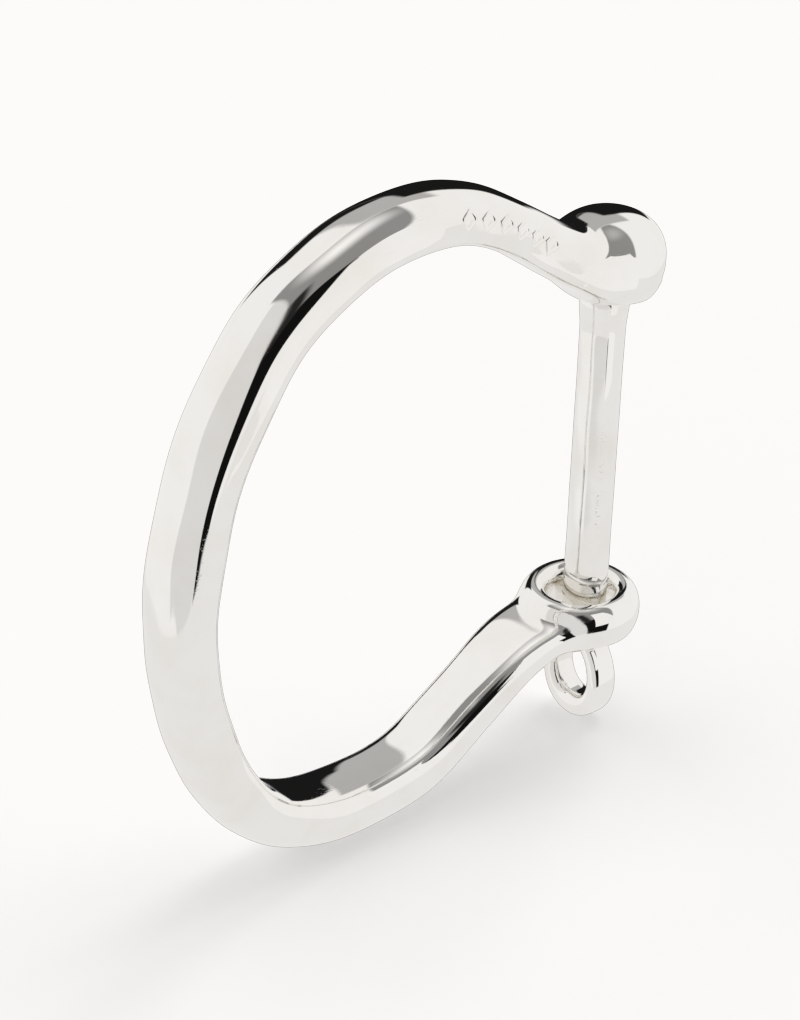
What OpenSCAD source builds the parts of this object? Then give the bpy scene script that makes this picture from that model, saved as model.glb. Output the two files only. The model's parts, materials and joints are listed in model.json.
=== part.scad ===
// Screw-pin bow bangle: a cast silver bow with a ball head at one end and an eye at the other.
// A round pin is drawn up through the eye, and its threaded stud screws into the ball.
// Bow frame: the pin axis is x = 0, the bow reaches towards -X, and z = 0 is midway along the gap.

/* [Stance] */
// Lean of the pin from upright while the bangle stands on its bow and its loop
lean = 3.4; // [2:0.1:4]

/* [Bow] */
// Distance from the middle of the ball to the middle of the eye
gap_h = 40.2; // [38:0.1:44]
// Full width of the bow across the wrist band
bow_w = 7.5; // [6.6:0.1:8.4]
// Squareness of the inner half of the section, where 2 is an ellipse
inner_square = 3.4; // [2:0.1:4]
// Squareness of the outer half of the section
outer_square = 2.3; // [2:0.1:3]

/* [Ball head] */
// Diameter of the ball across the pin
ball_d = 11.6; // [10.6:0.1:12.4]
// Height of the ball along the pin
ball_h = 9.0; // [8.4:0.1:9.6]
// Rise of the ball's middle above the end of the bow
ball_rise = 0.5; // [0:0.1:0.8]

/* [Eye] */
// Diameter of the eye's hole
eye_hole_d = 7.0; // [6.8:0.1:7.2]
// Thickness of the rim round the hole
rim_t = 2.7; // [2.2:0.1:2.9]
// Height of the eye along the pin
eye_h = 4.6; // [4:0.1:4.8]
// Distance from the pin axis to the middle of the hole, towards the bow
eye_shift = 0.6; // [0:0.1:0.8]
// Rise of the eye's middle above the end of the bow
eye_rise = 0.4; // [0:0.1:0.6]

/* [Pin] */
// Diameter of the plain shank
shank_d = 4.6; // [4:0.1:5.2]
// Diameter of the flare under the ball
flare_d = 5.1; // [4.6:0.1:5.6]
// Gap left between the flare and the seat when the pin is home
seat_gap = 0.1; // [0.05:0.05:0.3]

/* [Thread] */
// Diameter of the threaded stud
stud_d = 2.5; // [2:0.1:3]
// Radial play between the stud and the bush
thread_play = 0.05; // [0.02:0.01:0.1]
// Length of the stud inside the bush
stud_grip = 3.6; // [3:0.1:4]
// Outer diameter of the bush
bush_d = 4.2; // [3.6:0.1:4.6]
// Height of the bush
bush_h = 4.4; // [4.2:0.1:4.8]

/* [Finger loop] */
// Width of the loop across the pin
loop_w = 7.7; // [7.3:0.1:8.4]
// Thickness of the loop
loop_t = 3.0; // [2.4:0.1:3.2]
// Distance from the end of the bow to the foot of the loop
loop_drop = 13.1; // [12.6:0.1:13.8]
// Width of the limbs on each side of the loop's hole
limb_w = 1.6; // [1.2:0.1:1.8]
// Depth of the loop's foot below its hole
foot_w = 2.2; // [1.8:0.1:2.4]

/* [Hidden] */
$fn = 64;

half_gap = gap_h / 2;
ball_z = half_gap + ball_rise;
seat_z = ball_z - ball_h / 2 + 0.3;
eye_z = eye_rise - half_gap;
rim_r = (eye_hole_d + rim_t) / 2;
stud_root = 2.4;
stud_top = seat_z + stud_grip;
shank_top = seat_z - seat_gap;
shank_foot = eye_z - eye_h / 2 - 0.5;
foot_z = -half_gap - loop_drop;

// Stations of the bow's centreline from the ball to the eye: along, up, half thickness, half width.
// The curve is a uniform cubic B-spline, so it only passes near them.
half_w = bow_w / 2;
stations = [
    [0, half_gap - 0.4, 2.6, half_w * 1.25],
    [-11.3, 25.7, 2.5, half_w * 0.95],
    [-21.5, 32.6, 2.7, half_w * 0.98],
    [-36.2, 29.9, 2.9, half_w],
    [-45.1, 22.2, 3.1, half_w],
    [-50.9, 10.2, 2.9, half_w],
    [-53.1, -2.4, 2.8, half_w],
    [-51.8, -14.3, 2.8, half_w],
    [-46.1, -27.9, 2.8, half_w],
    [-36.1, -32.8, 2.9, half_w],
    [-21.3, -32.0, 2.9, half_w * 0.98],
    [-11.5, -21.2, 2.2, half_w * 1.02],
    [0, -half_gap, 1.9, half_w * 1.3],
];
spans = len(stations) - 1;
rings_per_span = 5;
ring_points = 20;

// Control points with one mirrored point past each end, so the curve starts and stops on a station
control = concat([2 * stations[0] - stations[1]], stations, [2 * stations[spans] - stations[spans - 1]]);

// Point of the B-spline at parameter t, and its direction in the plane of the bow
function spline(t) =
    let (k = min(floor(t), spans - 1), f = t - k)
    (pow(1 - f, 3) * control[k] + (3 * pow(f, 3) - 6 * f * f + 4) * control[k + 1]
        + (3 * f + 3 * f * f - 3 * pow(f, 3) + 1) * control[k + 2] + pow(f, 3) * control[k + 3]) / 6;
function heading(t) =
    let (k = min(floor(t), spans - 1), f = t - k,
        d = (pow(f, 2) * control[k + 3] - pow(1 - f, 2) * control[k]
            + (3 * f * f - 4 * f) * control[k + 1] + (1 + 2 * f - 3 * f * f) * control[k + 2]))
    [d[0], d[1]] / norm([d[0], d[1]]);

// Half a superellipse on the outer side and a squarer one on the inner side
function signed_pow(v, p) = sign(v) * pow(abs(v), p);
function ring(t) =
    let (c = spline(t), h = heading(t))
    [for (i = [0 : ring_points - 1])
        let (a = 360 * i / ring_points,
            p = 2 / (cos(a) > 0 ? outer_square : inner_square),
            out = c[2] * signed_pow(cos(a), p),
            side = c[3] * signed_pow(sin(a), p))
        [c[0] + h[1] * out, side, c[1] - h[0] * out]];

// Closes a list of equal rings into one solid, with flat ends or joined end to start
module loft(rings, closed = false) {
    n = len(rings[0]);
    m = len(rings);
    last = closed ? m - 1 : m - 2;
    sides = [for (j = [0 : last]) for (i = [0 : n - 1])
        let (a = j * n, b = ((j + 1) % m) * n, k = (i + 1) % n)
        each [[a + i, b + i, b + k], [a + i, b + k, a + k]]];
    caps = closed ? [] : [[for (i = [0 : n - 1]) i], [for (i = [n - 1 : -1 : 0]) (m - 1) * n + i]];
    polyhedron(points = [for (r = rings) each r], faces = concat(sides, caps));
}

bow_rings = [for (j = [0 : spans * rings_per_span]) ring(j / rings_per_span)];

// Stance: the bow frame leans about Y, then the lowest point comes to z = 0 and the box to x = 0
function stand_x(p) = p[0] * cos(lean) + p[2] * sin(lean);
function stand_z(p) = p[2] * cos(lean) - p[0] * sin(lean);
bow_points = [for (r = bow_rings) each r];
lowest = min([for (p = bow_points) stand_z(p)]);
foot_low = stand_z([0, 0, foot_z]);
left = min([for (p = bow_points) stand_x(p)]);
right = stand_x([0, 0, ball_z]) + ball_d / 2;
module stand() translate([-(left + right) / 2, 0, -min(lowest, foot_low)]) rotate([0, lean, 0]) children();

// Ball turned about the pin axis: a half disc carried out from the axis, flat on its poles
module ball_head() translate([0, 0, ball_z]) rotate_extrude() intersection() {
    union() {
        translate([(ball_d - ball_h) / 2, 0]) circle(d = ball_h);
        translate([0, -ball_h / 2]) square([(ball_d - ball_h) / 2, ball_h]);
    }
    translate([0, -ball_h]) square([ball_d, 2 * ball_h]);
}

// Eye rim with a fully rounded section
module eye_rim() translate([-eye_shift, 0, eye_z]) rotate_extrude() {
    for (s = [-1, 1]) translate([rim_r, s * (eye_h - rim_t) / 2]) circle(d = rim_t);
    translate([rim_r - rim_t / 2, -(eye_h - rim_t) / 2]) square([rim_t, eye_h - rim_t]);
}

// The casting: swept bow, ball head and eye rim in one piece, bored for the pin and the bush
module bow() color("silver") stand() difference() {
    union() {
        loft(bow_rings);
        ball_head();
        eye_rim();
    }
    translate([-eye_shift, 0, eye_z - eye_h]) cylinder(d = eye_hole_d, h = 2 * eye_h);
    translate([0, 0, seat_z - 2]) cylinder(d = flare_d + 0.4, h = 2);
    translate([0, 0, seat_z - 1]) cylinder(d = bush_d, h = bush_h + 1);
}

// Brass bush pressed into the ball's blind hole, bored through for the stud
module socket_bush() color("goldenrod") stand() translate([0, 0, seat_z]) difference() {
    cylinder(d = bush_d, h = bush_h);
    translate([0, 0, -1]) cylinder(d = stud_d + 2 * thread_play, h = bush_h + 2);
}

// Steel stud set into the top of the shank, chamfered at its tip
module thread_stud() color("dimgray") stand() rotate_extrude() polygon([
    [0, shank_top - stud_root], [stud_d / 2, shank_top - stud_root],
    [stud_d / 2, stud_top - 0.4], [stud_d / 2 - 0.4, stud_top], [0, stud_top],
]);

// Round shank with a flare under the ball and a blind hole for the stud
module pin_shank() color("gainsboro") stand() rotate_extrude() polygon([
    [0, shank_foot], [shank_d / 2 - 0.3, shank_foot], [shank_d / 2, shank_foot + 0.6],
    [shank_d / 2, shank_top - 3], [flare_d / 2, shank_top - 0.5], [flare_d / 2 - 0.2, shank_top],
    [stud_d / 2, shank_top], [stud_d / 2, shank_top - stud_root], [0, shank_top - stud_root],
]);

// Pointed oval of the finger loop, swept with a rounded section that thickens at the foot
loop_steps = 48;
loop_points = 16;
loop_top = shank_foot - 0.2;
loop_mid = (loop_top + foot_z) / 2;
loop_half = (loop_top - foot_z) / 2;
function loop_ring(a) =
    let (w = limb_w / 2 + (foot_w - limb_w) / 2 * pow(abs(cos(a)), 3),
        y = (loop_w - limb_w) / 2 * signed_pow(sin(a), 0.85),
        z = loop_mid + (loop_half - foot_w / 2) * cos(a),
        up = [loop_w * cos(a), -2 * loop_half * sin(a)],
        h = up / norm(up))
    [for (i = [0 : loop_points - 1])
        let (b = 360 * i / loop_points,
            out = w * signed_pow(cos(b), 0.8),
            side = loop_t / 2 * signed_pow(sin(b), 0.8))
        [side, y - h[1] * out, z + h[0] * out]];

// Finger loop joined to the shank by a short round neck
module finger_loop() color("whitesmoke") stand() {
    loft([for (j = [0 : loop_steps - 1]) loop_ring(360 * j / loop_steps)], closed = true);
    translate([0, 0, shank_foot - 1.6]) cylinder(d = shank_d - 0.8, h = 1.6);
}

bow();
socket_bush();
thread_stud();
pin_shank();
finger_loop();
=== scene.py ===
import json
import math

import bpy
import numpy as np
from mathutils import Matrix, Vector


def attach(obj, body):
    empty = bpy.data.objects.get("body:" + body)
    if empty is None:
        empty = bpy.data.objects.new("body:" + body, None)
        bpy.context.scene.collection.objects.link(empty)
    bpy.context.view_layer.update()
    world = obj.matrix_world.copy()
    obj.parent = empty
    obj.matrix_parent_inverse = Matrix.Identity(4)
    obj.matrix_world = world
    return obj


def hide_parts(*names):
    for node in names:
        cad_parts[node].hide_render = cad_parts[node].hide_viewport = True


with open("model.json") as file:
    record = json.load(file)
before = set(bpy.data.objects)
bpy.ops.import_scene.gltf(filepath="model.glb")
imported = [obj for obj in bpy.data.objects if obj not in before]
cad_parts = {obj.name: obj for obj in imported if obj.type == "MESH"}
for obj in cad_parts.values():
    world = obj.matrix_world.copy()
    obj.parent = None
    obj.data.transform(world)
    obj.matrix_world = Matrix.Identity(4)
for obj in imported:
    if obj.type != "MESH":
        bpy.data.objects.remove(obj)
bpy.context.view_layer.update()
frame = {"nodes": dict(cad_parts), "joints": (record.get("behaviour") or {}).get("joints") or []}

# ---------------------------------------------------------------------------------------------
# The bow. One silver-plated casting: a bar with a flat inner face and a domed outer face, bent
# into a bow, its upper end run into a squashed ball and its lower end opened into a round eye.
# It is hand-finished and mirror-polished, so every junction is a soft fillet.
# ---------------------------------------------------------------------------------------------
MM = 0.001
pin_turn = next(j for j in frame["joints"] if j["name"] == "pin_turn")
pin_origin = np.array(pin_turn["pos_m"])
pin_up = np.array(pin_turn["axis"])


def stand(points):
    """Bow frame in millimetres, with the pin axis at x = 0, to the standing frame in metres."""
    points = np.asarray(points, float)
    across = np.array([pin_up[2], 0.0, -pin_up[0]])
    return pin_origin + MM * (points[:, :1] * across + points[:, 1:2] * [0, 1, 0] + points[:, 2:] * pin_up)


# Stations of the bar: along, up, half thickness, half width
half_gap = 20.1
half_band = 3.75
stations = np.array([
    [0, half_gap - 0.3, 2.6, half_band * 1.25],
    [-5.0, half_gap + 1.3, 3.1, half_band * 1.2],
    [-11.3, 25.7, 2.5, half_band * 0.95],
    [-21.5, 32.6, 2.7, half_band * 0.98],
    [-36.2, 29.9, 2.9, half_band],
    [-45.1, 22.2, 3.1, half_band],
    [-50.9, 10.2, 2.9, half_band],
    [-53.1, -2.4, 2.8, half_band],
    [-51.8, -14.3, 2.8, half_band],
    [-46.1, -27.9, 2.8, half_band],
    [-36.1, -32.8, 2.9, half_band],
    [-21.3, -32.0, 2.9, half_band * 0.98],
    [-11.5, -21.2, 2.2, half_band * 1.02],
    [0, -half_gap, 1.9, half_band * 1.3],
])
bar_control = np.vstack([2 * stations[0] - stations[1], stations, 2 * stations[-1] - stations[-2]])


def curve(control, t, order=0):
    """A uniform cubic B-spline at parameters t, or its first or second derivative."""
    k = np.clip(np.floor(t).astype(int), 0, len(control) - 4)
    f = t - k
    weights = {
        0: [(1 - f) ** 3, 3 * f**3 - 6 * f**2 + 4, 1 + 3 * f + 3 * f**2 - 3 * f**3, f**3],
        1: [-3 * (1 - f) ** 2, 9 * f**2 - 12 * f, 3 + 6 * f - 9 * f**2, 3 * f**2],
        2: [6 * (1 - f), 18 * f - 12, 6 - 18 * f, 6 * f],
    }[order]
    return sum(w[:, None] * control[k + i] for i, w in enumerate(weights)) / 6


def nearest(control, u, v):
    """Parameters of a curve's points nearest to (u, v): the nearest sample, then Newton steps."""
    samples_t = np.linspace(0, len(control) - 3, 40 * (len(control) - 3) + 1)
    samples = curve(control, samples_t)
    t = np.empty(len(u))
    for start in range(0, len(u), 40000):
        part = slice(start, start + 40000)
        gap = (u[part, None] - samples[:, 0]) ** 2 + (v[part, None] - samples[:, 1]) ** 2
        t[part] = samples_t[gap.argmin(1)]
    for _ in range(4):
        away = curve(control, t)[:, :2] - np.stack([u, v], 1)
        first = curve(control, t, 1)[:, :2]
        second = curve(control, t, 2)[:, :2]
        slope = (first * first).sum(1) + (away * second).sum(1)
        step = (away * first).sum(1) / np.where(slope > 1, slope, 1e9)
        t = np.clip(t - np.clip(step, -0.1, 0.1), 0, len(control) - 3)
    return t


def join(a, b, fillet):
    """Union of two distance fields with a soft fillet."""
    h = np.maximum(fillet - np.abs(a - b), 0) / fillet
    return np.minimum(a, b) - h**3 * fillet / 6


def cut(a, b, fillet):
    """Field a with field b taken away, with a soft edge."""
    return -join(-a, b, fillet)


def oval_field(u, v, w, ru, rv, rw, power):
    """Near-distance to a superellipsoid of half sizes ru, rv, rw."""
    q = (np.abs(u / ru) ** power + np.abs(v / rv) ** power + np.abs(w / rw) ** power) ** (1 / power)
    return (q - 1) * np.minimum(ru, rv)


def swept_field(control, u, v, side, power_out, power_in):
    """Bar swept along a plane curve, with its own half thickness and half width at each point."""
    t = nearest(control, u, v)
    c = curve(control, t)
    d = curve(control, t, 1)[:, :2]
    d /= np.linalg.norm(d, axis=1)[:, None]
    ru, rv = u - c[:, 0], v - c[:, 1]
    out = ru * d[:, 1] - rv * d[:, 0]
    past = ru * d[:, 0] + rv * d[:, 1]
    power = np.where(out > 0, power_out, power_in)
    return oval_field(out, side, past, c[:, 2], c[:, 3], c[:, 2], power)


ball_r = 5.8
ball_low, ball_widest, ball_top = half_gap - 4.0, half_gap + 0.3, half_gap + 5.0
recess_r, recess_depth = 2.75, 0.3
bush_r, bush_h = 2.1, 4.4
seat_z = ball_low + recess_depth


def ball_field(p):
    """Squashed ball, domed above its widest ring and flatter below it."""
    flat = np.hypot(p[:, 0], p[:, 1])
    up = p[:, 2] - ball_widest
    power = np.where(up > 0, 2.35, 2.5)
    height = np.where(up > 0, ball_top - ball_widest, ball_widest - ball_low)
    return oval_field(up, flat, 0 * up, height, ball_r, 1.0, power)


eye_hole_r, rim_half_t, eye_half_h = 3.3, 1.48, 2.4
eye_x, eye_z = -0.65, 0.4 - half_gap


def rim_field(p):
    around = np.hypot(p[:, 0] - eye_x, p[:, 1]) - eye_hole_r - rim_half_t
    return oval_field(around, p[:, 2] - eye_z, 0 * around, rim_half_t, eye_half_h, 1.0, 2.1)


def rod_field(p, radius, low, high, x=0.0):
    """Round rod along the pin, on its axis or at x beside it."""
    side = np.hypot(p[:, 0] - x, p[:, 1]) - radius
    end = np.maximum(low - p[:, 2], p[:, 2] - high)
    return np.maximum(side, end)


def hand_finish(p):
    """Long shallow waves that files and polishing mops leave, in millimetres."""
    long_wave = np.sin(0.42 * p[:, 0] + 0.31 * p[:, 2] + 0.5 * p[:, 1] + 0.8)
    short_wave = np.sin(0.66 * p[:, 2] - 0.5 * p[:, 0] + 0.9 * p[:, 1])
    return 0.05 * long_wave + 0.022 * short_wave


ball_fillet, rim_fillet, hole_fillet, bore_edge = 2.2, 1.8, 1.2, 0.15


def bow_field(p):
    field = swept_field(bar_control, p[:, 0], p[:, 2], p[:, 1], 2.3, 4.4) + hand_finish(p)
    field = join(field, ball_field(p), ball_fillet)
    field = join(field, rim_field(p), rim_fillet)
    field = cut(field, rod_field(p, eye_hole_r, eye_z - 4, eye_z + 4, eye_x), hole_fillet)
    field = cut(field, rod_field(p, recess_r, seat_z - 3, seat_z), bore_edge)
    return cut(field, rod_field(p, bush_r, seat_z - 1, seat_z + bush_h), bore_edge)


def gradient(field, p):
    h = 0.01
    g = np.empty_like(p)
    for axis in range(3):
        step = np.zeros(3)
        step[axis] = h
        g[:, axis] = (field(p + step) - field(p - step)) / (2 * h)
    return g


def settle(field, p, rounds):
    """Moves points onto the field's surface along its gradient."""
    for _ in range(rounds):
        g = gradient(field, p)
        move = field(p)[:, None] * g / np.maximum((g * g).sum(1), 0.05)[:, None]
        p = p - np.clip(move, -0.3, 0.3)
    return p


def cast_mesh(field, low, high, cell):
    """Quad mesh of a field's surface: one point in each grid cell that the surface crosses."""
    counts = np.ceil((np.array(high) - low) / cell).astype(int) + 1
    axes = [low[i] + cell * np.arange(counts[i]) for i in range(3)]
    grid = np.stack(np.meshgrid(*axes, indexing="ij"), -1).reshape(-1, 3)
    value = field(grid).reshape(counts)
    inside = value < 0
    cells = tuple(counts - 1)
    total = np.zeros(cells + (3,))
    hits = np.zeros(cells)
    corner = lambda v, o: v[o[0]:o[0] + cells[0], o[1]:o[1] + cells[1], o[2]:o[2] + cells[2]]
    for axis in range(3):
        for b in (0, 1):
            for c in (0, 1):
                start = np.insert([b, c], axis, 0)
                end = np.insert([b, c], axis, 1)
                va, vb = corner(value, start), corner(value, end)
                crossed = (va < 0) != (vb < 0)
                f = np.where(crossed, va / np.where(crossed, va - vb, 1), 0)
                place = np.broadcast_to(start.astype(float), cells + (3,)).copy()
                place[..., axis] += f
                total += place * crossed[..., None]
                hits += crossed
    used = hits > 0
    index = -np.ones(cells, int)
    index[used] = np.arange(used.sum())
    where = np.argwhere(used)
    points = np.array(low) + cell * (where + total[used] / hits[used][:, None])
    faces = []
    for axis in range(3):
        u, v = [a for a in range(3) if a != axis]
        first = np.take(inside, range(counts[axis] - 1), axis)
        second = np.take(inside, range(1, counts[axis]), axis)
        for e in np.argwhere(first != second):
            if e[u] == 0 or e[v] == 0 or e[u] >= cells[u] or e[v] >= cells[v]:
                continue
            ring = []
            for du, dv in ((-1, -1), (0, -1), (0, 0), (-1, 0)):
                at = e.copy()
                at[u] += du
                at[v] += dv
                ring.append(index[tuple(at)])
            outward = first[tuple(e)] != (axis == 1)
            faces.append(ring if outward else ring[::-1])
    return points, faces


def relax(points, faces, field, rounds):
    """Evens the spacing of the points, keeping them on the surface."""
    quads = np.array(faces)
    for _ in range(rounds):
        total = np.zeros_like(points)
        count = np.zeros(len(points))
        for i in range(4):
            for j in (1, 3):
                np.add.at(total, quads[:, i], points[quads[:, (i + j) % 4]])
                np.add.at(count, quads[:, i], 1)
        points = settle(field, 0.5 * points + 0.5 * total / count[:, None], 1)
    return settle(field, points, 3)


def smooth_piece(name, points, faces, normals, material, body, node):
    """Smooth mesh object riding on a body, in place of a CAD node if one is named."""
    mesh = bpy.data.meshes.new(name)
    mesh.from_pydata([tuple(v) for v in stand(points)], [], [tuple(f) for f in faces])
    mesh.polygons.foreach_set("use_smooth", [True] * len(mesh.polygons))
    if normals is not None:
        turned = (stand(normals) - stand(np.zeros((1, 3)))) / MM
        turned /= np.linalg.norm(turned, axis=1)[:, None]
        mesh.normals_split_custom_set_from_vertices([tuple(v) for v in turned])
    mesh.materials.append(material)
    piece = bpy.data.objects.new(name, mesh)
    bpy.context.scene.collection.objects.link(piece)
    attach(piece, body)
    if node:
        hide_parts(node)
    return piece


def feed(tree, socket, value):
    """Gives a socket a number, or links another node's socket to it."""
    if isinstance(value, (int, float)):
        socket.default_value = value
    else:
        tree.links.new(value, socket)


def math_node(tree, operation, *values):
    """Math node whose inputs are numbers or other nodes' sockets."""
    node = tree.nodes.new("ShaderNodeMath")
    node.operation = operation
    for socket, value in zip(node.inputs, values):
        feed(tree, socket, value)
    return node.outputs[0]


def new_group(name, inputs, outputs):
    """Empty shader node group, with its input sockets and its output sockets."""
    group = bpy.data.node_groups.new(name, "ShaderNodeTree")
    for direction, sockets in (("INPUT", inputs), ("OUTPUT", outputs)):
        for socket, kind in sockets:
            group.interface.new_socket(name=socket, in_out=direction, socket_type="NodeSocket" + kind)
    return group, group.nodes.new("NodeGroupInput").outputs, group.nodes.new("NodeGroupOutput").inputs


def noise(tree, vector, scale, detail, roughness=0.5):
    node = tree.nodes.new("ShaderNodeTexNoise")
    tree.links.new(vector, node.inputs["Vector"])
    feed(tree, node.inputs["Scale"], scale)
    node.inputs["Detail"].default_value = detail
    node.inputs["Roughness"].default_value = roughness
    return node.outputs["Fac"]


def remap(tree, value, low, high, to_low, to_high):
    node = tree.nodes.new("ShaderNodeMapRange")
    tree.links.new(value, node.inputs["Value"])
    for socket, number in zip(("From Min", "From Max", "To Min", "To Max"), (low, high, to_low, to_high)):
        feed(tree, node.inputs[socket], number)
    return node.outputs["Result"]


# Hairlines: fine straight scratches, in two crossing directions, broken up into patches
hairlines, group_in, group_out = new_group(
    "hairlines", (("Scale", "Float"), ("Amount", "Float")), (("Mask", "Float"), ("Height", "Float")))
place = hairlines.nodes.new("ShaderNodeTexCoord").outputs["Object"]
layers = []
for turn in (0.5, 2.1):
    mapping = hairlines.nodes.new("ShaderNodeMapping")
    hairlines.links.new(place, mapping.inputs["Vector"])
    mapping.inputs["Rotation"].default_value = (turn, 0.6, turn + 0.4)
    mapping.inputs["Scale"].default_value = (1.0, 14.0, 14.0)
    streaks = noise(hairlines, mapping.outputs[0], group_in["Scale"], 2)
    layers.append(remap(hairlines, streaks, 0.62, 0.72, 0, 1))
patches = remap(hairlines, noise(hairlines, place, 300, 2), 0.45, 0.65, 0.1, 1)
lines = math_node(hairlines, "MULTIPLY", math_node(hairlines, "MAXIMUM", *layers), patches)
lines = math_node(hairlines, "MULTIPLY", lines, group_in["Amount"])
hairlines.links.new(lines, group_out["Mask"])
hairlines.links.new(math_node(hairlines, "MULTIPLY", lines, -1.0), group_out["Height"])

# Polish haze: a soft cloud of handling and faint warm tarnish over the plating
haze, group_in, group_out = new_group(
    "polish_haze", (("Scale", "Float"), ("Amount", "Float"), ("Clean", "Color"), ("Tarnish", "Color")),
    (("Color", "Color"), ("Haze", "Float")))
place = haze.nodes.new("ShaderNodeTexCoord").outputs["Object"]
cloud = remap(haze, noise(haze, place, group_in["Scale"], 4, 0.55), 0.42, 0.75, 0, group_in["Amount"])
tone = haze.nodes.new("ShaderNodeMix")
tone.data_type = "RGBA"
haze.links.new(cloud, tone.inputs["Factor"])
haze.links.new(group_in["Clean"], tone.inputs[6])
haze.links.new(group_in["Tarnish"], tone.inputs[7])
haze.links.new(tone.outputs[2], group_out["Color"])
haze.links.new(cloud, group_out["Haze"])

# Mop ripple: the small uneven ripple that a felt mop leaves in a mirror finish
ripple, group_in, group_out = new_group(
    "mop_ripple", (("Scale", "Float"), ("Depth", "Float")), (("Height", "Float"),))
place = ripple.nodes.new("ShaderNodeTexCoord").outputs["Object"]
ripple.links.new(
    math_node(ripple, "MULTIPLY", noise(ripple, place, group_in["Scale"], 1), group_in["Depth"]),
    group_out["Height"])


def place_group(tree, group, **values):
    """Node that puts a group in a tree, with its own values."""
    node = tree.nodes.new("ShaderNodeGroup")
    node.node_tree = group
    for socket, value in values.items():
        node.inputs[socket].default_value = value
    return node


def metal(name, roughness):
    material = bpy.data.materials.new(name)
    material.use_nodes = True
    shader = material.node_tree.nodes["Principled BSDF"]
    shader.inputs["Metallic"].default_value = 1.0
    shader.inputs["Roughness"].default_value = roughness
    return material, material.node_tree, shader


def bump(tree, height, distance, strength, shader):
    node = tree.nodes.new("ShaderNodeBump")
    node.inputs["Distance"].default_value = distance
    node.inputs["Strength"].default_value = strength
    tree.links.new(height, node.inputs["Height"])
    tree.links.new(node.outputs["Normal"], shader.inputs["Normal"])


def silver_material(name, ripple_depth, scratch_amount, tarnish_amount):
    """Mirror-polished silver plate, with its own ripple, hairlines and haze."""
    material, tree, shader = metal(name, 0.03)
    plate = place_group(tree, haze, Scale=180, Amount=tarnish_amount, Clean=(0.93, 0.925, 0.912, 1),
                        Tarnish=(0.82, 0.775, 0.70, 1))
    lines = place_group(tree, hairlines, Scale=420, Amount=scratch_amount)
    waves = place_group(tree, ripple, Scale=260, Depth=ripple_depth)
    tree.links.new(plate.outputs["Color"], shader.inputs["Base Color"])
    hazed = math_node(tree, "MULTIPLY_ADD", plate.outputs["Haze"], 0.10, 0.022)
    scratched = math_node(tree, "MULTIPLY_ADD", lines.outputs["Mask"], 0.22, hazed)
    tree.links.new(scratched, shader.inputs["Roughness"])
    relief = math_node(tree, "MULTIPLY_ADD", lines.outputs["Height"], 0.02, waves.outputs["Height"])
    bump(tree, relief, 0.0001, 1.0, shader)
    return material


bow_cell = 0.42
bow_points, bow_faces = cast_mesh(bow_field, (-57, -7, -37.5), (7.5, 7, 36), bow_cell)
bow_points = relax(bow_points, bow_faces, bow_field, 3)
bow_silver = silver_material("bow_silver", 0.10, 0.5, 0.35)
smooth_piece("bow_casting", bow_points, bow_faces, gradient(bow_field, bow_points), bow_silver,
             "bow", "bow")

# ---------------------------------------------------------------------------------------------
# The stamped marks. A short row of plain lozenges, each with a point in its middle, raised a little
# on the side of the upper arm, of the same silver as the bow. They are a pattern and spell nothing.
# ---------------------------------------------------------------------------------------------
# Each ring: part of the way from the middle to the edge, and height over the bow
mark_rings = np.array([
    [0.0, 0.13], [0.15, 0.09], [0.32, 0.04], [0.55, -0.01], [0.64, 0.0], [0.74, 0.09], [0.86, 0.09],
    [0.98, 0.03], [1.05, -0.06],
])
mark_turns = 48
mark_count, mark_first, mark_spacing = 6, 1.9, 0.21  # spacing in steps from station to station
mark_half_length, mark_half_height, mark_rise = 1.05, 1.35, 0.45


def stamped_mark(at, half_length, half_height):
    """Points and faces of one raised lozenge, at a parameter of the bar's curve."""
    middle = curve(bar_control, np.array([at]))[0]
    ahead = curve(bar_control, np.array([at]), 1)[0, :2]
    ahead /= np.linalg.norm(ahead)
    outward = np.array([ahead[1], -ahead[0]])
    angle = 2 * math.pi * np.arange(mark_turns) / mark_turns
    corner = 1.1
    reach = (np.abs(np.cos(angle)) ** corner + np.abs(np.sin(angle)) ** corner) ** (-1 / corner)
    part = mark_rings[:, :1] * reach
    a = (half_length * part * np.cos(angle)).ravel()
    b = (half_height * part * np.sin(angle)).ravel() + mark_rise
    plane = middle[:2] + a[:, None] * ahead + b[:, None] * outward
    points = np.column_stack([plane[:, 0], np.full(len(a), -middle[3]), plane[:, 1]])
    points = settle(bow_field, points, 12)
    normal = gradient(bow_field, points)
    normal /= np.linalg.norm(normal, axis=1)[:, None]
    points += np.repeat(mark_rings[:, 1], mark_turns)[:, None] * normal
    faces = []
    for j in range(len(mark_rings) - 1):
        for i in range(mark_turns):
            k = (i + 1) % mark_turns
            inner, outer = j * mark_turns, (j + 1) * mark_turns
            faces.append([inner + i, outer + i, outer + k, inner + k])
    return points, faces


for number in range(mark_count):
    points, faces = stamped_mark(mark_first + mark_spacing * number, mark_half_length, mark_half_height)
    smooth_piece(f"stamped_mark_{number + 1}", points, faces, None, bow_silver, "bow", None)

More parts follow.
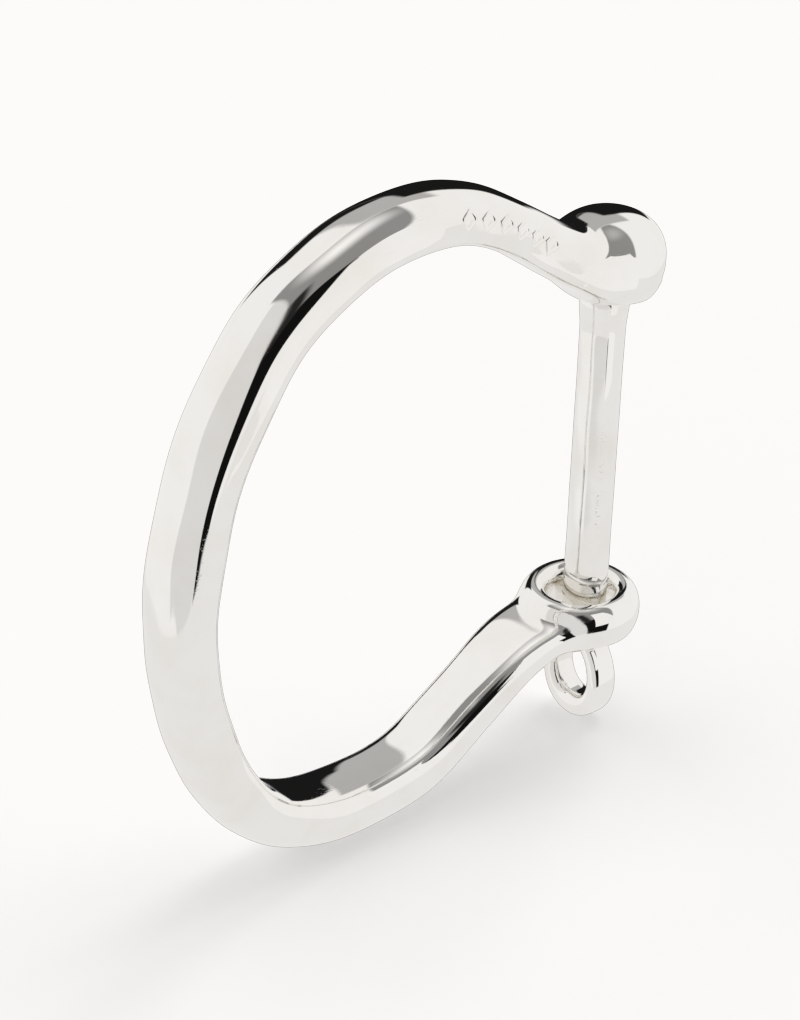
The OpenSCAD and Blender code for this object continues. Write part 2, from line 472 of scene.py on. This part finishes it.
# ---------------------------------------------------------------------------------------------
# The socket bush. A turned brass bush pressed into the ball's blind hole, with the female thread
# that holds the pin. Only its lower face shows, and only when the pin is out.
# ---------------------------------------------------------------------------------------------
# Turning rings: the fine rings a lathe tool leaves, round the bores and across the faces
rings, group_in, group_out = new_group(
    "turning_rings", (("Pitch", "Float"), ("Unevenness", "Float")), (("Height", "Float"), ("Mask", "Float")))
place = rings.nodes.new("ShaderNodeTexCoord").outputs["Object"]
from_axis = rings.nodes.new("ShaderNodeVectorMath")
from_axis.operation = "SUBTRACT"
rings.links.new(place, from_axis.inputs[0])
from_axis.inputs[1].default_value = tuple(pin_origin)
along = rings.nodes.new("ShaderNodeVectorMath")
along.operation = "DOT_PRODUCT"
rings.links.new(from_axis.outputs[0], along.inputs[0])
along.inputs[1].default_value = tuple(pin_up)
sideways = rings.nodes.new("ShaderNodeVectorMath")
sideways.operation = "CROSS_PRODUCT"
rings.links.new(from_axis.outputs[0], sideways.inputs[0])
sideways.inputs[1].default_value = tuple(pin_up)
radius = rings.nodes.new("ShaderNodeVectorMath")
radius.operation = "LENGTH"
rings.links.new(sideways.outputs[0], radius.inputs[0])
travel = math_node(rings, "ADD", along.outputs["Value"], radius.outputs["Value"])
wander = math_node(rings, "MULTIPLY", noise(rings, place, 900, 3), group_in["Unevenness"])
phase = math_node(rings, "ADD", math_node(rings, "DIVIDE", travel, group_in["Pitch"]), wander)
wave = math_node(rings, "SINE", math_node(rings, "MULTIPLY", phase, 2 * math.pi))
rings.links.new(wave, group_out["Height"])
rings.links.new(remap(rings, wave, -1, 1, 0, 1), group_out["Mask"])

brass, tree, brass_shader = metal("turned_brass", 0.25)
brass_tone = place_group(tree, haze, Scale=420, Amount=0.6, Clean=(0.78, 0.58, 0.27, 1),
                         Tarnish=(0.42, 0.26, 0.10, 1))
brass_rings = place_group(tree, rings, Pitch=0.00012, Unevenness=0.6)
tree.links.new(brass_tone.outputs["Color"], brass_shader.inputs["Base Color"])
tree.links.new(remap(tree, brass_rings.outputs["Mask"], 0, 1, 0.16, 0.30), brass_shader.inputs["Roughness"])
bump(tree, brass_rings.outputs["Height"], 0.000004, 0.8, brass_shader)
bush = frame["nodes"]["socket_bush"]
bush.data.materials.clear()
bush.data.materials.append(brass)

# ---------------------------------------------------------------------------------------------
# The thread stud. A steel stud with a rolled thread, fixed in the top of the shank. It screws up
# into the bush, and its tip is chamfered so that it starts cleanly.
# ---------------------------------------------------------------------------------------------


def turned_mesh(heights, turns, radius_at):
    """Points and faces of a turned piece with flat ends."""
    angle = 2 * math.pi * np.arange(turns) / turns
    z, a = np.meshgrid(heights, angle, indexing="ij")
    r = radius_at(z, a)
    points = np.stack([r * np.cos(a), r * np.sin(a), z], -1).reshape(-1, 3)
    rows = len(heights)
    faces = []
    for j in range(rows - 1):
        for i in range(turns):
            k = (i + 1) % turns
            faces.append([j * turns + i, j * turns + k, (j + 1) * turns + k, (j + 1) * turns + i])
    faces.append(list(range(turns))[::-1])
    faces.append([(rows - 1) * turns + i for i in range(turns)])
    return points, faces


stud_low, stud_high = seat_z - 2.5, seat_z + 3.6
thread_pitch, core_r, thread_depth = 0.45, 1.0, 0.24
tip_r, chamfer = 0.85, 0.4


def thread_radius(z, a):
    wave = np.abs(((z / thread_pitch - a / (2 * math.pi)) % 1) * 2 - 1)
    crest = core_r + thread_depth * np.clip(wave * 1.3 - 0.1, 0, 1)
    tip = np.clip((stud_high - z) / chamfer, 0, 1)
    return np.minimum(crest, tip_r + chamfer * tip)


stud_points, stud_faces = turned_mesh(np.linspace(stud_low, stud_high, 190), 48, thread_radius)
steel, tree, steel_shader = metal("rolled_steel", 0.22)
steel_tone = place_group(tree, haze, Scale=700, Amount=0.7, Clean=(0.60, 0.595, 0.585, 1),
                         Tarnish=(0.25, 0.22, 0.19, 1))
steel_rings = place_group(tree, rings, Pitch=0.00006, Unevenness=1.5)
tree.links.new(steel_tone.outputs["Color"], steel_shader.inputs["Base Color"])
tree.links.new(remap(tree, steel_tone.outputs["Haze"], 0, 1, 0.18, 0.38), steel_shader.inputs["Roughness"])
bump(tree, steel_rings.outputs["Height"], 0.000002, 0.6, steel_shader)
smooth_piece("threaded_stud", stud_points, stud_faces, None, steel, "stud", "thread_stud")

# ---------------------------------------------------------------------------------------------
# The shank. A round silver-plated pin, turned and hand-polished, so it is not quite straight-sided.
# It runs through the eye with play, and flares a little where it seats under the ball.
# ---------------------------------------------------------------------------------------------
shank_high = seat_z - 0.1
shank_low = eye_z - eye_half_h - 0.5
shank_r, flare, flare_h = 2.3, 0.25, 4.0
lip_h, toe_h = 0.5, 0.6


def shank_radius(z, a):
    rise = np.clip((z - (shank_high - flare_h)) / (flare_h - toe_h), 0, 1)
    body = shank_r + flare * rise**2 * (3 - 2 * rise)
    top = np.clip((shank_high - z) / lip_h, 0, 1)
    foot = np.clip((z - shank_low) / toe_h, 0, 1)
    lip = 0.45 * (1 - np.sqrt(1 - (1 - top) ** 2))
    toe = 0.5 * (1 - np.sqrt(1 - (1 - foot) ** 2))
    hand = 0.018 * np.sin(0.55 * z + 1.0) * np.cos(2 * a + 0.1 * z) - 0.012
    return body - lip - toe + hand * top * foot


shank_heights = np.concatenate([
    shank_low + toe_h * (1 - np.cos(np.linspace(0, math.pi / 2, 10))),
    np.linspace(shank_low + toe_h, shank_high - lip_h, 150)[1:-1],
    shank_high - lip_h * (1 - np.sin(np.linspace(0, math.pi / 2, 10))),
])
shank_points, shank_faces = turned_mesh(shank_heights, 96, shank_radius)
shank_silver = silver_material("shank_silver", 0.10, 0.9, 0.45)
smooth_piece("pin_shank_turned", shank_points, shank_faces, None, shank_silver, "pin", "pin_shank")

# ---------------------------------------------------------------------------------------------
# The finger loop. A small cast oval, soldered to the foot of the shank. Its faces are flat and its
# edges rounded, and it is wider than the eye's hole, so the pin can't be pulled up through it.
# ---------------------------------------------------------------------------------------------
loop_mid = shank_low - 5.45
loop_cell = 0.22
# Stations of the oval: sideways, up, half thickness, half width
oval = np.array([
    [0, 4.95, 0.95, 1.45], [2.6, 3.5, 0.8, 1.5], [3.7, 0.1, 0.85, 1.6], [2.7, -3.1, 1.05, 1.7],
    [0, -4.15, 1.35, 1.7], [-2.7, -3.1, 1.05, 1.7], [-3.7, 0.1, 0.85, 1.6], [-2.6, 3.5, 0.8, 1.5],
])
loop_control = np.vstack([oval, oval[:3]])


def loop_field(p):
    ring = swept_field(loop_control, p[:, 1], p[:, 2] - loop_mid, p[:, 0], 3.1, 3.1)
    return join(ring, rod_field(p, 1.9, shank_low - 1.4, shank_low), 0.8)


loop_points, loop_faces = cast_mesh(
    loop_field, (-2.4, -4.8, loop_mid - 6.4), (2.4, 4.8, shank_low + 1), loop_cell)
loop_points = relax(loop_points, loop_faces, loop_field, 3)
loop_silver = silver_material("loop_silver", 0.22, 0.6, 0.55)
smooth_piece("finger_loop_cast", loop_points, loop_faces, gradient(loop_field, loop_points), loop_silver,
             "pin", "finger_loop")

# ---------------------------------------------------------------------------------------------
# The stage. A pale sweep, white and dark cards round the set that the silver mirrors, one softbox
# and the camera. None of it is part of the bangle.
# ---------------------------------------------------------------------------------------------
scene = bpy.context.scene
scene.view_settings.view_transform = "Standard"
scene.cycles.max_bounces = 16
scene.cycles.glossy_bounces = 16
world = bpy.data.worlds.new("studio")
scene.world = world
world.use_nodes = True


def soft_step(tree, value, edge, width):
    """0 below the edge and 1 above it, with a smooth change over the width on each side."""
    node = tree.nodes.new("ShaderNodeMapRange")
    node.interpolation_type = "SMOOTHSTEP"
    tree.links.new(value, node.inputs["Value"])
    tree.links.new(math_node(tree, "SUBTRACT", edge, width), node.inputs["From Min"])
    tree.links.new(math_node(tree, "ADD", edge, width), node.inputs["From Max"])
    return node.outputs["Result"]


# A card hung round the set. Its place is where it is seen from the bangle, as degrees from straight
# up, along X and along Y
card_group, card_in, card_out = new_group(
    "card", [(side, "Float") for side in ("X", "Y", "Left", "Right", "Near", "Far", "Softness")],
    (("Mask", "Float"),))
past_left = soft_step(card_group, card_in["X"], card_in["Left"], card_in["Softness"])
past_right = soft_step(card_group, card_in["X"], card_in["Right"], card_in["Softness"])
past_near = soft_step(card_group, card_in["Y"], card_in["Near"], card_in["Softness"])
past_far = soft_step(card_group, card_in["Y"], card_in["Far"], card_in["Softness"])
width_mask = math_node(card_group, "SUBTRACT", past_left, past_right)
depth_mask = math_node(card_group, "SUBTRACT", past_near, past_far)
card_group.links.new(math_node(card_group, "MULTIPLY", width_mask, depth_mask), card_out["Mask"])

tree = world.node_tree
direction = tree.nodes.new("ShaderNodeTexCoord").outputs["Generated"]
split = tree.nodes.new("ShaderNodeSeparateXYZ")
tree.links.new(direction, split.inputs[0])
from_up = math_node(tree, "DEGREES", math_node(tree, "ARCCOSINE", split.outputs["Z"]))
level = math_node(tree, "SQRT", math_node(
    tree, "ADD", math_node(tree, "MULTIPLY", split.outputs["X"], split.outputs["X"]),
    math_node(tree, "MULTIPLY", split.outputs["Y"], split.outputs["Y"])))
spread = math_node(tree, "DIVIDE", from_up, math_node(tree, "MAXIMUM", level, 0.0001))
set_x = math_node(tree, "MULTIPLY", split.outputs["X"], spread)
set_y = math_node(tree, "MULTIPLY", split.outputs["Y"], spread)

# Left, right, near, far, softness, brightness
cards = {
    "side_wall": (-110, -29, -110, 20, 1.5, 0.74),
    "overhead": (-29, 31, -62, 27, 1.5, 0.28),
    "front_black": (-29, 22, -140, -57, 1.5, 0.006),
    "front_black_side": (-29, -14, -64, -24, 5, 0.02),
    "back_grey": (14, 48, 27, 62, 2, 0.46),
    "back_black": (40, 80, 44, 92, 1.5, 0.01),
    "back_black_left": (4, 41, 61, 88, 2, 0.01),
}


def lay_over(tree, below, mask, brightness):
    """Brightness laid over what is below it, where the mask is 1."""
    mix = tree.nodes.new("ShaderNodeMix")
    tree.links.new(mask, mix.inputs["Factor"])
    feed(tree, mix.inputs["A"], below)
    mix.inputs["B"].default_value = brightness
    return mix.outputs["Result"]


shade = 0.92  # the white tent behind the cards
for name, (left, right, near, far, softness, brightness) in cards.items():
    card = place_group(tree, card_group, Left=left, Right=right, Near=near, Far=far, Softness=softness)
    card.name = name
    tree.links.new(set_x, card.inputs["X"])
    tree.links.new(set_y, card.inputs["Y"])
    shade = lay_over(tree, shade, card.outputs["Mask"], brightness)

# A soft round glow in the overhead card
glow_at_x, glow_at_y, glow_half = 5, 10, 15
glow_x = math_node(tree, "SUBTRACT", set_x, glow_at_x)
glow_y = math_node(tree, "SUBTRACT", set_y, glow_at_y)
glow_away = math_node(tree, "SQRT", math_node(
    tree, "ADD", math_node(tree, "MULTIPLY", glow_x, glow_x), math_node(tree, "MULTIPLY", glow_y, glow_y)))
glow = math_node(tree, "SUBTRACT", 1.0, soft_step(tree, glow_away, glow_half, glow_half))
shade = lay_over(tree, shade, glow, 1.0)

# The white sweep under the set covers everything lower than 26 degrees below the level
sweep_edge, sweep_shade = 116, 0.84
shade = lay_over(tree, shade, soft_step(tree, from_up, sweep_edge, 1.0), sweep_shade)
studio = tree.nodes["Background"]
tint = tree.nodes.new("ShaderNodeMix")
tint.data_type = "RGBA"
tint.inputs[6].default_value = (0, 0, 0, 1)
tint.inputs[7].default_value = (1.0, 0.985, 0.965, 1)
tree.links.new(shade, tint.inputs["Factor"])
tree.links.new(tint.outputs[2], studio.inputs["Color"])
studio.inputs["Strength"].default_value = 1.0
plain = tree.nodes.new("ShaderNodeBackground")
plain.inputs["Color"].default_value = (0.983, 0.965, 0.948, 1)
choose = tree.nodes.new("ShaderNodeMixShader")
tree.links.new(tree.nodes.new("ShaderNodeLightPath").outputs["Is Camera Ray"], choose.inputs["Fac"])
tree.links.new(studio.outputs[0], choose.inputs[1])
tree.links.new(plain.outputs[0], choose.inputs[2])
tree.links.new(choose.outputs[0], tree.nodes["World Output"].inputs["Surface"])

bpy.ops.mesh.primitive_plane_add(size=4, location=(0, 0, 0))
floor = bpy.context.object
floor.name = "floor"
floor.is_shadow_catcher = True
floor.visible_glossy = False

# A small white card close in front of the pin, seen only in the silver
fill_low, fill_high = (0.013, -0.056, 0.010), (0.046, -0.056, 0.095)
fill_mesh = bpy.data.meshes.new("fill_card")
fill_mesh.from_pydata(
    [fill_low, (fill_high[0], *fill_low[1:]), fill_high, (fill_low[0], *fill_high[1:])], [], [(0, 1, 2, 3)])
fill_card = bpy.data.objects.new("fill_card", fill_mesh)
scene.collection.objects.link(fill_card)
fill_white = bpy.data.materials.new("fill_white")
fill_white.use_nodes = True
fill_shader = fill_white.node_tree.nodes["Principled BSDF"]
fill_shader.inputs["Base Color"].default_value = (0, 0, 0, 1)
fill_shader.inputs["Emission Color"].default_value = (0.90, 0.885, 0.87, 1)
fill_shader.inputs["Emission Strength"].default_value = 1.0
fill_mesh.materials.append(fill_white)
fill_card.visible_camera = False
fill_card.visible_shadow = False
fill_card.visible_diffuse = False

# One softbox, high at the right, which throws the shadow and isn't mirrored in the silver
lamp_data = bpy.data.lights.new("softbox", "AREA")
lamp_data.size = 0.3
lamp_data.energy = 0.32
lamp = bpy.data.objects.new("softbox", lamp_data)
lamp_side = Vector((math.cos(math.radians(12)), math.sin(math.radians(12)), math.tan(math.radians(60))))
lamp.location = 0.3 * lamp_side
lamp.rotation_euler = lamp_side.to_track_quat("Z", "Y").to_euler()
lamp.visible_glossy = False
scene.collection.objects.link(lamp)

azimuth, elevation, roll = math.radians(-38.6), math.radians(31.6), math.radians(-0.9)
distance = 0.343
aim = Vector(stand([[-25.7, 0, -0.2]])[0])
toward = Vector((
    math.sin(azimuth) * math.cos(elevation),
    -math.cos(azimuth) * math.cos(elevation),
    math.sin(elevation),
))
camera_data = bpy.data.cameras.new("camera")
camera_data.lens = 123.5
camera = bpy.data.objects.new("camera", camera_data)
camera.location = aim + distance * toward
facing = toward.to_track_quat("Z", "Y").to_matrix() @ Matrix.Rotation(roll, 3, "Z")
camera.rotation_euler = facing.to_euler()
scene.collection.objects.link(camera)
scene.camera = camera
